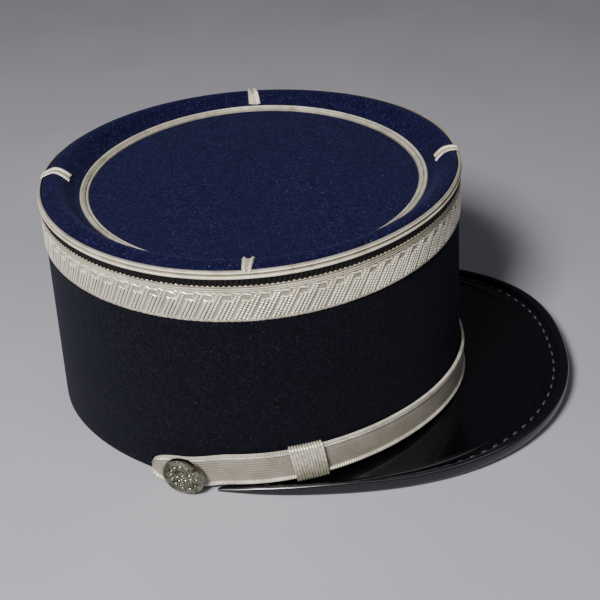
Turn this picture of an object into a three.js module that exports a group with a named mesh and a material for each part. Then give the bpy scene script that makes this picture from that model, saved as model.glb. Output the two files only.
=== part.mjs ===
// A kepi cap: a tall oval cloth band with a rolled, recessed crown, braid and lace trim,
// a flat patent visor, and a lace chin strap with two wire sliders and two buttons.
// Millimetres, +Z up, the visor points to -Y. The cap stands on the band's lower edge.
import * as THREE from 'three'

// Band, as a ruled wall between a lower and an upper oval. An oval is four Bezier quarters,
// and its fullness is how far their handles reach (0.552 makes an ellipse).
const headLength = 200
const headWidth = 166.6
const headFullness = 0.49
const topLength = 187
const topWidth = 176.4
const topFullness = 0.535
const topSetBack = 0.7
const capHeight = 118.7
const topSlope = -0.03
const rimDip = 3.4
const wallThickness = 3

// Crown: insets and heights are measured from the upper edge line of the edge braid
const rollInset = 5.5
const rollRise = 1.6
const rollTilt = 0.014
const slopeFootInset = 14
const slopeFootRise = -5.8
const floorInset = 19.4
const floorRise = -8.1
const floorSetForward = 1.7
const floorSideReach = 3
const crownUnderside = -10.5
const crownSeat = 6

// Trim on the outside of the band, as distances down the wall from the same line
const edgeBraidSpan = [-0.2, 4.1]
const ribbedStripSpan = [4.4, 7.3]
const laceSpan = [7.6, 24.6]
const braidThickness = 1.7
const laceThickness = 1
const tabWidths = [3.6, 5.2]
const gap = 0.3

// Visor
const visorHalfWidth = 91.2
const visorReach = 125.4
const visorShoulder = -27
const visorPower = 2.35
const visorTipLift = 7.6
const visorLiftPower = 2.6
const visorHornAngle = 102
const visorHornOffset = 4.9
const visorHornThinning = 0.62
const visorHornShare = 0.8
const visorThinningShare = 0.77
const visorThickness = 2
const visorDish = 1.6
const bindingWidth = 4.4
const bindingHeight = 6.4

// Chin strap, sliders and buttons
const strapWidth = 17.5
const strapThickness = 1.5
const strapStandOff = 1.7
const strapEndAngle = 120.5
const strapFlare = 3.2
const strapFlareAngles = [98, 111]
const sliderAngle = 79.5
const sliderLength = 13.8
const sliderWire = 1
const buttonAngle = 110
const buttonRadius = 10
const buttonDepth = 6.8

const ringSteps = 72
const degrees = THREE.MathUtils.degToRad

const cloths = {
  band: { color: 0x12141f, roughness: 0.95 },
  crown: { color: 0x141b40, roughness: 0.95 },
  silverBraid: { color: 0xc9c3b4, roughness: 0.45, metalness: 0.35 },
  ribbedBlack: { color: 0x0c0c10, roughness: 0.7 },
  strapLace: { color: 0xbdb5a6, roughness: 0.5, metalness: 0.3 },
  patent: { color: 0x060608, roughness: 0.15 },
  silverWire: { color: 0xcfc8b4, roughness: 0.35, metalness: 0.8 },
  nickel: { color: 0xb9bca8, roughness: 0.3, metalness: 0.9 },
}

// A point on an oval; angle 0 is the front (-Y), 90 degrees the wearer's left (+X)
function ovalPoint(angle, halfLength, halfWidth, fullness) {
  const quarters = angle / (Math.PI / 2)
  const quarter = Math.floor(quarters)
  const t = quarters - quarter
  const leaving = (1 - t) ** 3 + 3 * (1 - t) ** 2 * t + 3 * (1 - t) * t ** 2 * fullness
  const coming = t ** 3 + 3 * t ** 2 * (1 - t) + 3 * t * (1 - t) ** 2 * fullness
  const turn = quarter * Math.PI / 2
  const fore = leaving * Math.cos(turn) - coming * Math.sin(turn)
  const side = leaving * Math.sin(turn) + coming * Math.cos(turn)
  return new THREE.Vector3(halfWidth * side, -halfLength * fore, 0)
}

// The rim sits a little lower on the wearer's left. The floor inside it stays level across,
// and reaches nearer to the rim at the sides than at the front and back
function topLine(angle, inset = 0, rise = 0) {
  const rimShare = THREE.MathUtils.clamp((slopeFootInset - inset) / (slopeFootInset - rollInset), 0, 1)
  const sideInset = inset - floorSideReach * (1 - rimShare)
  const point = ovalPoint(angle, topLength / 2 - inset, topWidth / 2 - sideInset, topFullness)
  const dip = rimDip * rimShare * Math.max(point.x / (topWidth / 2), 0) ** 2
  point.y += topSetBack
  point.z = capHeight + topSlope * point.y + rise - dip
  return point
}

// The crown's upper surface lies more level than the edge that it rolls over
function roofLine(angle, inset, rise) {
  const point = topLine(angle, inset, rise)
  point.z += rollTilt * Math.min(Math.max(inset / rollInset, 0), 1) * point.y
  point.y -= floorSetForward * Math.min(Math.max(inset / slopeFootInset, 0), 1)
  return point
}

function footLine(angle) {
  return ovalPoint(angle, headLength / 2, headWidth / 2, headFullness)
}

function outward(angle) {
  const step = 0.01
  const along = footLine(angle + step).sub(footLine(angle - step))
  return new THREE.Vector3(along.y, -along.x, 0).normalize()
}

// A point on the wall, so far down from the top line and so far out from the cloth
function wallPoint(angle, drop, out) {
  const top = topLine(angle)
  const foot = footLine(angle)
  const share = Math.min(drop / top.distanceTo(foot), 1)
  return top.lerp(foot, share).addScaledVector(outward(angle), out)
}

// A point on the wall at a given height above the ground
function wallAtHeight(angle, height, out) {
  const foot = footLine(angle)
  const top = topLine(angle)
  return foot.lerp(top, height / top.z).addScaledVector(outward(angle), out)
}

function closedGeometry(points, faces) {
  let volume = 0
  for (const [a, b, c] of faces) {
    volume += points[a].dot(new THREE.Vector3().crossVectors(points[b], points[c]))
  }
  const outwardFaces = volume > 0 ? faces : faces.map(([a, b, c]) => [a, c, b])
  const geometry = new THREE.BufferGeometry().setFromPoints(points)
  geometry.setIndex(outwardFaces.flat())
  geometry.computeVertexNormals()
  return geometry
}

// Joins equal closed outlines into a skin: once round and back to the first, or with capped ends
function sweep(sections, loops) {
  const count = sections[0].length
  const faces = []
  const last = loops ? sections.length : sections.length - 1
  for (let s = 0; s < last; s++) {
    const here = s * count
    const next = ((s + 1) % sections.length) * count
    for (let p = 0; p < count; p++) {
      const q = (p + 1) % count
      faces.push([here + p, here + q, next + q], [here + p, next + q, next + p])
    }
  }
  if (!loops) {
    const end = (sections.length - 1) * count
    for (let p = 1; p < count - 1; p++) {
      faces.push([0, p + 1, p], [end, end + p, end + p + 1])
    }
  }
  return closedGeometry(sections.flat(), faces)
}

function aroundHead(outline) {
  return Array.from({ length: ringSteps }, (_, step) => outline(step / ringSteps * 2 * Math.PI))
}

const kepi = new THREE.Group()

function addPiece(name, geometry, cloth) {
  const piece = new THREE.Mesh(geometry, new THREE.MeshStandardMaterial(cloths[cloth]))
  piece.name = name
  kepi.add(piece)
  return piece
}

function addBand() {
  const wall = sweep(aroundHead(angle => [
    wallPoint(angle, crownSeat, 0),
    wallPoint(angle, 40, 0),
    wallPoint(angle, 80, 0),
    wallPoint(angle, Infinity, 0),
    wallPoint(angle, Infinity, -wallThickness),
    wallPoint(angle, 60, -wallThickness),
    wallPoint(angle, crownSeat, -wallThickness),
  ]), true)
  addPiece('band', wall, 'band')
}

// The crown is one thin lid: rolled rim, sloping side, flat floor, and a plain underside
function addCrown() {
  const roof = [
    [floorInset + 30, floorRise + 0.3],
    [floorInset, floorRise],
    [slopeFootInset, slopeFootRise],
    [rollInset + 3.6, rollRise - 1.6],
    [rollInset, rollRise],
    [rollInset - 3.2, rollRise - 0.3],
    [0.9, 1],
    [0, -0.8],
  ]
  const underside = [
    [0, -crownSeat + gap],
    [rollInset, -crownSeat + gap],
    [slopeFootInset, crownUnderside],
    [floorInset + 30, crownUnderside],
  ]
  const points = []
  const faces = []
  const addRings = (rings, line) => {
    for (const [inset, rise] of rings) points.push(...aroundHead(angle => line(angle, inset, rise)))
  }
  addRings(roof, roofLine)
  addRings(underside, topLine)
  const lowest = points.length - ringSteps
  const topCentre = points.push(new THREE.Vector3(0, topSetBack, capHeight + floorRise + 0.5)) - 1
  const lowerCentre = points.push(new THREE.Vector3(0, topSetBack, capHeight + crownUnderside)) - 1
  for (let step = 0; step < ringSteps; step++) {
    const next = (step + 1) % ringSteps
    faces.push([topCentre, step, next], [lowerCentre, lowest + next, lowest + step])
    for (let row = 0; row < lowest; row += ringSteps) {
      const below = row + ringSteps
      faces.push([row + step, below + step, below + next], [row + step, below + next, row + next])
    }
  }
  addPiece('crown', closedGeometry(points, faces), 'crown')
}

// A soutache braid: two round ridges with a groove between, across a given span
function braidOutline(place, from, to) {
  const at = share => from + (to - from) * share
  return [
    place(at(0.04), 0),
    place(at(0), braidThickness * 0.6),
    place(at(0.25), braidThickness),
    place(at(0.5), braidThickness * 0.65),
    place(at(0.75), braidThickness),
    place(at(1), braidThickness * 0.6),
    place(at(0.96), 0),
  ]
}

function addBandTrim() {
  const [braidTop, braidFoot] = edgeBraidSpan
  const braid = aroundHead(angle =>
    braidOutline((drop, out) => wallPoint(angle, drop, gap + out), braidTop, braidFoot))
  addPiece('edge_braid', sweep(braid, true), 'silverBraid')

  const flatStrip = ([from, to], thickness) => aroundHead(angle => [
    wallPoint(angle, from, gap),
    wallPoint(angle, from, gap + thickness),
    wallPoint(angle, to, gap + thickness),
    wallPoint(angle, to, gap),
  ])
  addPiece('ribbed_strip', sweep(flatStrip(ribbedStripSpan, laceThickness), true), 'ribbedBlack')
  addPiece('galon', sweep(flatStrip(laceSpan, laceThickness), true), 'silverBraid')
}

// The ring braid lies on the foot of the crown's inner slope
function addRingBraid() {
  const slope = (floorRise - slopeFootRise) / (floorInset - slopeFootInset)
  const braid = aroundHead(angle => braidOutline((inset, lift) =>
    roofLine(angle, inset, slopeFootRise + slope * (inset - slopeFootInset) + gap + lift),
  slopeFootInset + 0.3, floorInset - 0.3))
  addPiece('ring_braid', sweep(braid, true), 'silverBraid')
}

// A short braid over the roll, from the edge braid down to the ring braid
function addRimTab(name, angle) {
  const route = [
    [-1, 1.3], [0.5, 1.8], [rollInset - 3.3, rollRise - 0.1], [rollInset, rollRise + 0.6],
    [rollInset + 3.9, rollRise - 1.1], [rollInset + 6.6, rollRise - 4.6],
  ]
  const along = new THREE.Vector3().crossVectors(new THREE.Vector3(0, 0, 1), outward(angle))
  const sections = route.map(([inset, rise], index) => {
    const before = route[Math.max(index - 1, 0)]
    const after = route[Math.min(index + 1, route.length - 1)]
    const run = new THREE.Vector2(after[0] - before[0], after[1] - before[1]).normalize()
    const over = (across, lift) =>
      roofLine(angle, inset - run.y * lift, rise + run.x * lift).addScaledVector(along, across)
    const half = THREE.MathUtils.lerp(...tabWidths, index / (route.length - 1)) / 2
    return [over(-half, 0), over(-half, 0.8), over(-half / 2, 1.2), over(0, 0.8),
      over(half / 2, 1.2), over(half, 0.8), over(half, 0)]
  })
  addPiece(name, sweep(sections, false), 'silverBraid')
}

// The visor's outer edge; share runs from -1 at one horn, through 0 at the tip, to 1
function visorEdge(share) {
  const side = Math.sign(share)
  const turn = Math.min(Math.abs(share) / visorHornShare, 1) * Math.PI / 2
  const horn = Math.max((Math.abs(share) - visorHornShare) / (1 - visorHornShare), 0)
  const edge = new THREE.Vector3(
    side * visorHalfWidth * Math.sin(turn) ** (2 / visorPower),
    visorShoulder - visorReach * Math.max(Math.cos(turn), 0) ** (2 / visorPower),
    0)
  const hornTip = visorRoot(side).addScaledVector(outward(side * visorRootAngle), visorHornOffset)
  edge.x += (hornTip.x - edge.x) * horn ** 2
  edge.y += (hornTip.y - visorShoulder) * horn
  return edge
}

const visorRootAngle = degrees(visorHornAngle)

function visorRoot(share) {
  const angle = share * visorRootAngle
  return footLine(angle).addScaledVector(outward(angle), gap)
}

// The visor's edge thins towards the horns, to pass under the strap
function rimHeight(share) {
  const horn = Math.max((Math.abs(share) - visorThinningShare) / (1 - visorThinningShare), 0)
  return bindingHeight * (1 - visorHornThinning * horn)
}

function visorLift(y) {
  const forward = Math.max((visorShoulder - y) / visorReach, 0)
  return visorTipLift * forward ** visorLiftPower
}

const visorShares = Array.from({ length: 57 }, (_, step) => step / 28 - 1)

function addVisor() {
  const plate = visorShares.map(share => {
    const root = visorRoot(share)
    const edge = visorEdge(share)
    const inward = root.clone().sub(edge).setLength(bindingWidth + gap)
    edge.add(inward)
    const place = (across, height) => {
      const point = root.clone().lerp(edge, across)
      const dish = visorDish * (1 - across ** 2) * rimHeight(share) / bindingHeight
      point.z = rimHeight(share) / 2 + visorLift(point.y) - dish + height
      return point
    }
    const half = visorThickness / 2 * rimHeight(share) / bindingHeight
    return [place(0, -half), place(0, half), place(0.35, half), place(0.7, half),
      place(1, half), place(1, -half), place(0.7, -half), place(0.35, -half)]
  })
  addPiece('visor', sweep(plate, false), 'patent')

  const bead = visorShares.map(share => {
    const edge = visorEdge(share)
    const inward = visorRoot(share).sub(edge).normalize()
    const place = (across, height) => {
      const point = edge.clone().addScaledVector(inward, across * bindingWidth)
      point.z = visorLift(edge.y) + height * rimHeight(share)
      return point
    }
    return [place(0.02, 0.3), place(0.02, 0.7), place(0.25, 0.95), place(0.6, 1),
      place(1, 0.85), place(1, 0.15), place(0.6, 0), place(0.25, 0.05)]
  })
  addPiece('visor_binding', sweep(bead, false), 'patent')
}

function strapFoot(angle) {
  const fore = Math.cos(angle)
  return 4.7 + 5.5 * fore - 5.2 * fore ** 2
}

// The strap stands off further where it runs over the buttons' shanks
function strapPoint(angle, up, out) {
  const turn = THREE.MathUtils.radToDeg(Math.abs(angle))
  const flare = strapFlare * THREE.MathUtils.smoothstep(turn, ...strapFlareAngles)
  return wallAtHeight(angle, strapFoot(angle) + up, strapStandOff + flare + out)
}

// The strap runs round the front from one button to the other, with a rounded tongue behind each
function addChinStrap() {
  const end = degrees(strapEndAngle)
  const tongue = degrees(9)
  const steps = 60
  const sections = Array.from({ length: steps + 1 }, (_, step) => {
    const angle = -end + 2 * end * step / steps
    const fromEnd = Math.min((end - Math.abs(angle)) / tongue, 1)
    const half = strapWidth / 2 * (0.35 + 0.65 * Math.sqrt(1 - (1 - fromEnd) ** 2))
    const middle = strapWidth / 2
    return [
      strapPoint(angle, middle - half, 0),
      strapPoint(angle, middle - half, strapThickness),
      strapPoint(angle, middle + half, strapThickness),
      strapPoint(angle, middle + half, 0),
    ]
  })
  addPiece('chin_strap', sweep(sections, false), 'strapLace')
}

// A slider is a flat sleeve of wound wire closed round the strap
function addSlider(name, side) {
  const middle = degrees(sliderAngle)
  const reach = sliderLength / 2 / strapPoint(middle, 0, 0).setZ(0).length()
  const along = [-1, 0, 1].map(end => side * (middle + end * reach))
  const corners = [[-1, -1], [1, -1], [1, 1], [-1, 1]]
  const layer = (angle, [up, out], spare) => strapPoint(angle,
    strapWidth / 2 + up * (strapWidth / 2 + spare), strapThickness / 2 + out * (strapThickness / 2 + spare))
  const sections = corners.map(place => [
    ...along.map(angle => layer(angle, place, gap + sliderWire)),
    ...along.toReversed().map(angle => layer(angle, place, gap)),
  ])
  addPiece(name, sweep(sections, true), 'silverWire')
}

// A domed button on a short shank, with a raised rim
function addButton(name, side) {
  const profile = [
    [0, 0], [3, 0], [3, 2], [buttonRadius - 1.4, 2], [buttonRadius, 3], [buttonRadius - 0.4, 4],
    [buttonRadius - 1.6, 4.2], [buttonRadius - 2.2, 3.9], [6, 5.3], [3, 6.4], [0, buttonDepth],
  ].map(([radius, out]) => new THREE.Vector2(radius, out))
  const angle = side * degrees(buttonAngle)
  const button = addPiece(name, new THREE.LatheGeometry(profile, 24), 'nickel')
  button.quaternion.setFromUnitVectors(new THREE.Vector3(0, 1, 0), outward(angle))
  button.position.copy(strapPoint(angle, strapWidth / 2, strapThickness + gap))
  button.position.z = buttonRadius + gap
}

addBand()
addCrown()
addBandTrim()
addRingBraid()
addRimTab('rim_tab_front', 0)
addRimTab('rim_tab_left', Math.PI / 2)
addRimTab('rim_tab_back', Math.PI)
addRimTab('rim_tab_right', -Math.PI / 2)
addVisor()
addChinStrap()
addSlider('slider_left', 1)
addSlider('slider_right', -1)
addButton('button_left', 1)
addButton('button_right', -1)

// The origin is on the ground under the middle of the whole cap
const bounds = new THREE.Box3().setFromObject(kepi, true)
kepi.position.y = -(bounds.min.y + bounds.max.y) / 2

export default kepi
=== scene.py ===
import math
import bpy
from mathutils import Matrix, Vector


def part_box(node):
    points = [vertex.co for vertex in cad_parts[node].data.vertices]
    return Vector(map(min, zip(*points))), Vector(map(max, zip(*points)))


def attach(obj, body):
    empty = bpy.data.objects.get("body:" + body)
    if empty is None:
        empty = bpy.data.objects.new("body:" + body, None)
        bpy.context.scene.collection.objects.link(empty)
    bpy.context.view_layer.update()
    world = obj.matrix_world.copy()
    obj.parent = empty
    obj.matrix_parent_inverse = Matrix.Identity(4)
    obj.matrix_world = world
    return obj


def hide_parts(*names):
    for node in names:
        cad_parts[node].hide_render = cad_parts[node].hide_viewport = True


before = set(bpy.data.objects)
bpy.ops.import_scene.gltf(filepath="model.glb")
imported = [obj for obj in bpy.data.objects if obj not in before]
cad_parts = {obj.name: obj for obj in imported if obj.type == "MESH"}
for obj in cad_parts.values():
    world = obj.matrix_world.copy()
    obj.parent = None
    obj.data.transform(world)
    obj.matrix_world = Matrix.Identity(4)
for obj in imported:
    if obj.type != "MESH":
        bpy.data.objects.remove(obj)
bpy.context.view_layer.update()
bandLow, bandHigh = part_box("band")
hatY = (bandLow.y + bandHigh.y) / 2    # the middle of the head opening

# camera: a short telephoto above the wearer's right side
camera = {
    "place": (-0.4271, 0.00925, 0.3385),
    "target": (-0.0011, 0.00375, 0.0439),
    "roll": -1.98,
    "lens": 63.55,
    "shiftX": -0.009,
    "shiftY": -0.00133,
}
deg = math.radians
eye = Vector(camera["place"])
ahead = (Vector(camera["target"]) - eye).normalized()
level = ahead.cross(Vector((0, 0, 1))).normalized()
above = level.cross(ahead)
roll = deg(camera["roll"])
rightward = level * math.cos(roll) + above * math.sin(roll)
upward = above * math.cos(roll) - level * math.sin(roll)
bpy.ops.object.select_all(action="DESELECT")
bpy.ops.object.camera_add()
cameraObject = bpy.context.object
turned = Matrix((rightward, upward, -ahead)).transposed().to_4x4()
cameraObject.matrix_world = Matrix.Translation(eye) @ turned
cameraObject.data.lens = camera["lens"]
cameraObject.data.shift_x = camera["shiftX"]
cameraObject.data.shift_y = camera["shiftY"]
cameraObject.data.clip_start = 0.01
bpy.context.scene.camera = cameraObject
print("camera set")

# the cap's own lines, in metres; angle 0 is the front, a quarter turn is the wearer's left
shell = {
    "headLength": 0.2000,
    "headWidth": 0.1666,
    "headFullness": 0.49,
    "topLength": 0.1870,
    "topWidth": 0.1764,
    "topFullness": 0.535,
    "topSetBack": 0.0007,
    "height": 0.1187,
    "slope": -0.03,
    "rimDip": 0.0034,
    "rollInset": 0.0055,
    "rollTilt": 0.014,
    "slopeFoot": 0.0140,
    "floorForward": 0.0017,
    "floorSideReach": 0.0030,
}


def clamp(value, low=0.0, high=1.0):
    return min(max(value, low), high)


def ovalPoint(angle, halfLength, halfWidth, fullness):
    quarters = angle / (math.pi / 2)
    quarter = math.floor(quarters)
    t = quarters - quarter
    leaving = (1 - t) ** 3 + 3 * (1 - t) ** 2 * t + 3 * (1 - t) * t ** 2 * fullness
    coming = t ** 3 + 3 * t ** 2 * (1 - t) + 3 * t * (1 - t) ** 2 * fullness
    turn = quarter * math.pi / 2
    fore = leaving * math.cos(turn) - coming * math.sin(turn)
    side = leaving * math.sin(turn) + coming * math.cos(turn)
    return Vector((halfWidth * side, -halfLength * fore, 0))


def footLine(angle):
    return ovalPoint(angle, shell["headLength"] / 2, shell["headWidth"] / 2, shell["headFullness"])


def topLine(angle, inset=0.0, rise=0.0):
    rimShare = clamp((shell["slopeFoot"] - inset) / (shell["slopeFoot"] - shell["rollInset"]))
    sideInset = inset - shell["floorSideReach"] * (1 - rimShare)
    point = ovalPoint(angle, shell["topLength"] / 2 - inset, shell["topWidth"] / 2 - sideInset,
                      shell["topFullness"])
    dip = shell["rimDip"] * rimShare * max(point.x / (shell["topWidth"] / 2), 0) ** 2
    point.y += shell["topSetBack"]
    point.z = shell["height"] + shell["slope"] * point.y + rise - dip
    return point


def roofLine(angle, inset, rise):
    point = topLine(angle, inset, rise)
    point.z += shell["rollTilt"] * clamp(inset / shell["rollInset"]) * point.y
    point.y -= shell["floorForward"] * clamp(inset / shell["slopeFoot"])
    return point


def outward(angle, nudge=0.01):
    along = footLine(angle + nudge) - footLine(angle - nudge)
    return Vector((along.y, -along.x, 0)).normalized()


def wallPoint(angle, drop, out):
    top, foot = topLine(angle), footLine(angle)
    share = min(drop / (top - foot).length, 1)
    return top.lerp(foot, share) + outward(angle) * out


def wallAtHeight(angle, height, out):
    top, foot = topLine(angle), footLine(angle)
    return foot.lerp(top, height / top.z) + outward(angle) * out


def wallLean(angle):
    top, foot = topLine(angle), footLine(angle)
    return math.atan2((foot - top).dot(outward(angle)), top.z)


def seated(point):
    return Vector((point.x, point.y + hatY, point.z))


# small tools used by every piece
def deselectAll():
    if bpy.context.object and bpy.context.object.mode != "OBJECT":
        bpy.ops.object.mode_set(mode="OBJECT")
    bpy.ops.object.select_all(action="DESELECT")


def pick(*pieces):
    deselectAll()
    for piece in pieces:
        piece.select_set(True)
    bpy.context.view_layer.objects.active = pieces[0]


def applyModifiers(piece):
    pick(piece)
    for modifier in list(piece.modifiers):
        bpy.ops.object.modifier_apply(modifier=modifier.name)


def startEdit(piece, choice="SELECT"):
    pick(piece)
    bpy.ops.object.mode_set(mode="EDIT")
    bpy.ops.mesh.select_all(action=choice)


def endEdit():
    bpy.ops.object.mode_set(mode="OBJECT")


def closeUp(piece, reach=0.00002, outside=True):
    # merges what meets and turns the faces outward
    startEdit(piece)
    bpy.ops.mesh.remove_doubles(threshold=reach)
    if outside:
        bpy.ops.mesh.normals_make_consistent(inside=False)
    endEdit()


def capEnds(piece, reach=0.00001):
    # closes the two open ends of a tube with a face each
    closeUp(piece, reach, False)
    startEdit(piece, "DESELECT")
    bpy.ops.mesh.select_non_manifold()
    bpy.ops.mesh.edge_face_add()
    endEdit()
    closeUp(piece, reach)


def named(name):
    piece = bpy.context.object
    piece.name = name
    piece.data.name = name
    return piece


def joined(name, pieces):
    pick(*pieces)
    bpy.ops.object.join()
    return named(name)


def shapeGrid(name, columns, rows, place):
    # a grid whose corners are moved to place(across, along), both from 0 to 1
    deselectAll()
    bpy.ops.mesh.primitive_grid_add(x_subdivisions=columns, y_subdivisions=rows, size=1)
    piece = named(name)
    for vertex in piece.data.vertices:
        vertex.co = place(vertex.co.x + 0.5, vertex.co.y + 0.5)
    return piece


def smoothBy(piece, degrees):
    pick(piece)
    bpy.ops.object.shade_smooth_by_angle(angle=deg(degrees))


def subdivided(piece):
    modifier = piece.modifiers.new("round", "SUBSURF")
    modifier.levels = 1
    modifier.render_levels = 1
    applyModifiers(piece)


def thickened(piece, thickness):
    modifier = piece.modifiers.new("thick", "SOLIDIFY")
    modifier.thickness = thickness
    modifier.offset = -1
    applyModifiers(piece)


def polyCurve(name, points, closed):
    data = bpy.data.curves.new(name, "CURVE")
    data.dimensions = "3D"
    line = data.splines.new("POLY")
    line.points.add(len(points) - 1)
    for spot, point in zip(line.points, points):
        spot.co = (*point, 1)
    line.use_cyclic_u = closed
    curve = bpy.data.objects.new(name, data)
    bpy.context.scene.collection.objects.link(curve)
    return curve, line


def pathCurve(name, points, tilts, closed=True):
    path, line = polyCurve(name, [seated(point) for point in points], closed)
    path.data.twist_mode = "Z_UP"
    for spot, tilt in zip(line.points, tilts):
        spot.tilt = tilt
    return path, line.calc_length()


def headPath(name, placeAt, leanAt, startAngle=180, steps=180):
    # runs round the head clockwise from above, so that a laid strip faces outward
    angles = [deg(startAngle) - 2 * math.pi * step / steps for step in range(steps)]
    return pathCurve(name, [placeAt(a) for a in angles], [leanAt(a) for a in angles])


def layAlong(piece, path, step, count, closed=True, flat="xz"):
    # repeats a unit along X, maps it flat in millimetres, then bends it round its path
    repeat = piece.modifiers.new("repeat", "ARRAY")
    repeat.count = count
    repeat.use_relative_offset = False
    repeat.use_constant_offset = True
    repeat.constant_offset_displace = (step, 0, 0)
    repeat.use_merge_vertices = True
    repeat.merge_threshold = 0.00001
    applyModifiers(piece)
    layer = piece.data.uv_layers.active or piece.data.uv_layers.new(name="laid")
    for loop in piece.data.loops:
        spot = piece.data.vertices[loop.vertex_index].co
        layer.data[loop.index].uv = (spot.x * 1000, (spot.z if flat == "xz" else spot.y) * 1000)
    bend = piece.modifiers.new("bend", "CURVE")
    bend.object = path
    bend.deform_axis = "POS_X"
    applyModifiers(piece)
    bpy.data.objects.remove(path)
    if closed:
        closeUp(piece)


def twoFinishes(piece, plain, other, isOther):
    # isOther is asked about the middle of each face on the laid-out map
    for material in (plain, other):
        piece.data.materials.append(material)
    layer = piece.data.uv_layers.active
    for face in piece.data.polygons:
        up = sum(layer.data[i].uv[1] for i in face.loop_indices) / len(face.loop_indices)
        face.material_index = 1 if isOther(up) else 0


def finishPiece(piece, node, material, degrees):
    if material is not None:    # None keeps the finishes that its faces already have
        piece.data.materials.clear()
        piece.data.materials.append(material)
    smoothBy(piece, degrees)
    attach(piece, "root")
    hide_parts(node)


# materials
def newMaterial(name):
    material = bpy.data.materials.new(name)
    material.use_nodes = True
    tree = material.node_tree
    return material, tree, tree.nodes["Principled BSDF"]


def coordinates(tree, kind="Object"):
    return tree.nodes.new("ShaderNodeTexCoord").outputs[kind]


def setSockets(shader, **values):
    for key, value in values.items():
        shader.inputs[key.replace("_", " ")].default_value = value


def noiseNode(tree, source, scale, detail, roughness):
    node = tree.nodes.new("ShaderNodeTexNoise")
    node.inputs["Scale"].default_value = scale
    node.inputs["Detail"].default_value = detail
    node.inputs["Roughness"].default_value = roughness
    tree.links.new(source, node.inputs["Vector"])
    return node.outputs["Fac"]


def rampNode(tree, source, stops):
    node = tree.nodes.new("ShaderNodeValToRGB")
    elements = node.color_ramp.elements
    while len(elements) < len(stops):
        elements.new(0.5)
    for element, (position, colour) in zip(elements, stops):
        element.position = position
        element.color = (*colour, 1)
    tree.links.new(source, node.inputs["Fac"])
    return node.outputs["Color"]


def mappingNode(tree, source, scale, turn=(0, 0, 0)):
    node = tree.nodes.new("ShaderNodeMapping")
    node.inputs["Scale"].default_value = scale
    node.inputs["Rotation"].default_value = turn
    tree.links.new(source, node.inputs["Vector"])
    return node.outputs["Vector"]


def waveNode(tree, source, scale, direction, distortion, detailScale):
    node = tree.nodes.new("ShaderNodeTexWave")
    node.wave_type = "BANDS"
    node.bands_direction = direction
    node.wave_profile = "SIN"
    node.inputs["Scale"].default_value = scale
    node.inputs["Distortion"].default_value = distortion
    node.inputs["Detail Scale"].default_value = detailScale
    tree.links.new(source, node.inputs["Vector"])
    return node.outputs["Color"]


def mixNode(tree, first, second, factor, blend="MIX"):
    node = tree.nodes.new("ShaderNodeMix")
    node.data_type = "RGBA"
    node.blend_type = blend
    for socket, value in ((node.inputs[0], factor), (node.inputs[6], first), (node.inputs[7], second)):
        if isinstance(value, (float, int, tuple)):
            socket.default_value = value
        else:
            tree.links.new(value, socket)
    return node.outputs[2]


def bumpChain(tree, shader, layers):
    # layers of (height, strength, distance in metres)
    last = None
    for height, strength, distance in layers:
        node = tree.nodes.new("ShaderNodeBump")
        node.inputs["Strength"].default_value = strength
        node.inputs["Distance"].default_value = distance
        tree.links.new(height, node.inputs["Height"])
        if last is not None:
            tree.links.new(last, node.inputs["Normal"])
        last = node.outputs["Normal"]
    tree.links.new(last, shader.inputs["Normal"])


def woolCloth(name, look):
    material, tree, shader = newMaterial(name)
    place = coordinates(tree)
    patches = noiseNode(tree, place, look["patchScale"], 5, 0.65)
    fibres = noiseNode(tree, place, look["fibreScale"], 3, 0.6)
    drawn = mappingNode(tree, place, (1, 1, 0.45))
    nap = noiseNode(tree, drawn, look["napScale"], 6, 0.7)
    ground = rampNode(tree, patches, [(0.32, look["dark"]), (0.70, look["light"])])
    flecks = rampNode(tree, fibres, [(0.58, (0, 0, 0)), (0.76, (1, 1, 1))])
    fleckAmount = tree.nodes.new("ShaderNodeMath")
    fleckAmount.operation = "MULTIPLY"
    fleckAmount.inputs[1].default_value = look["fleckAmount"]
    tree.links.new(flecks, fleckAmount.inputs[0])
    colour = mixNode(tree, ground, (*look["fleck"], 1), fleckAmount.outputs["Value"])
    tree.links.new(colour, shader.inputs["Base Color"])
    setSockets(shader, Roughness=0.95, Sheen_Weight=look["sheen"], Sheen_Roughness=0.45,
               Sheen_Tint=(*look["sheenTint"], 1), Specular_IOR_Level=0.06)
    bumpChain(tree, shader, [(patches, 0.35, 0.0009), (nap, 0.8, 0.0006), (fibres, 0.7, 0.00025)])
    return material


def silverThread(name, look):
    # wound metal thread: fine ridges along or across the strip, random tarnish patches, and painted shade
    # darkening the low places between the ridges
    material, tree, shader = newMaterial(name)
    laid, place = coordinates(tree, "UV"), coordinates(tree)
    along = waveNode(tree, laid, look["alongScale"], "Y", 0.6, 2.0)
    turned = mappingNode(tree, laid, (1, 1, 1), (0, 0, deg(look["twistTurn"])))
    twist = waveNode(tree, turned, look["twistScale"], "X", 0.8, 1.5)
    tarnish = noiseNode(tree, place, 120, 5, 0.65)
    grain = noiseNode(tree, place, 1800, 4, 0.7)
    ground = rampNode(tree, tarnish, [(0.30, look["dark"]), (0.65, look["light"])])
    # painted shade: the twist and line waves darken the colour in their troughs, standing in for the shadow
    # between strands
    shade = rampNode(tree, twist, [(0.0, (look["gap"],) * 3), (0.6, (1, 1, 1))])
    colour = mixNode(tree, ground, shade, look["twistShade"], "MULTIPLY")
    lines = rampNode(tree, along, [(0.0, (look["gap"],) * 3), (0.6, (1, 1, 1))])
    colour = mixNode(tree, colour, lines, look["lineShade"], "MULTIPLY")
    tree.links.new(colour, shader.inputs["Base Color"])
    setSockets(shader, Roughness=look["roughness"], Metallic=look["metallic"], Sheen_Weight=0.15,
               Specular_IOR_Level=0.6)
    bumpChain(tree, shader, [(along, look["lineBump"], 0.00012), (twist, look["twistBump"], 0.00022),
                             (grain, 0.5, 0.0001)])
    return material


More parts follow.
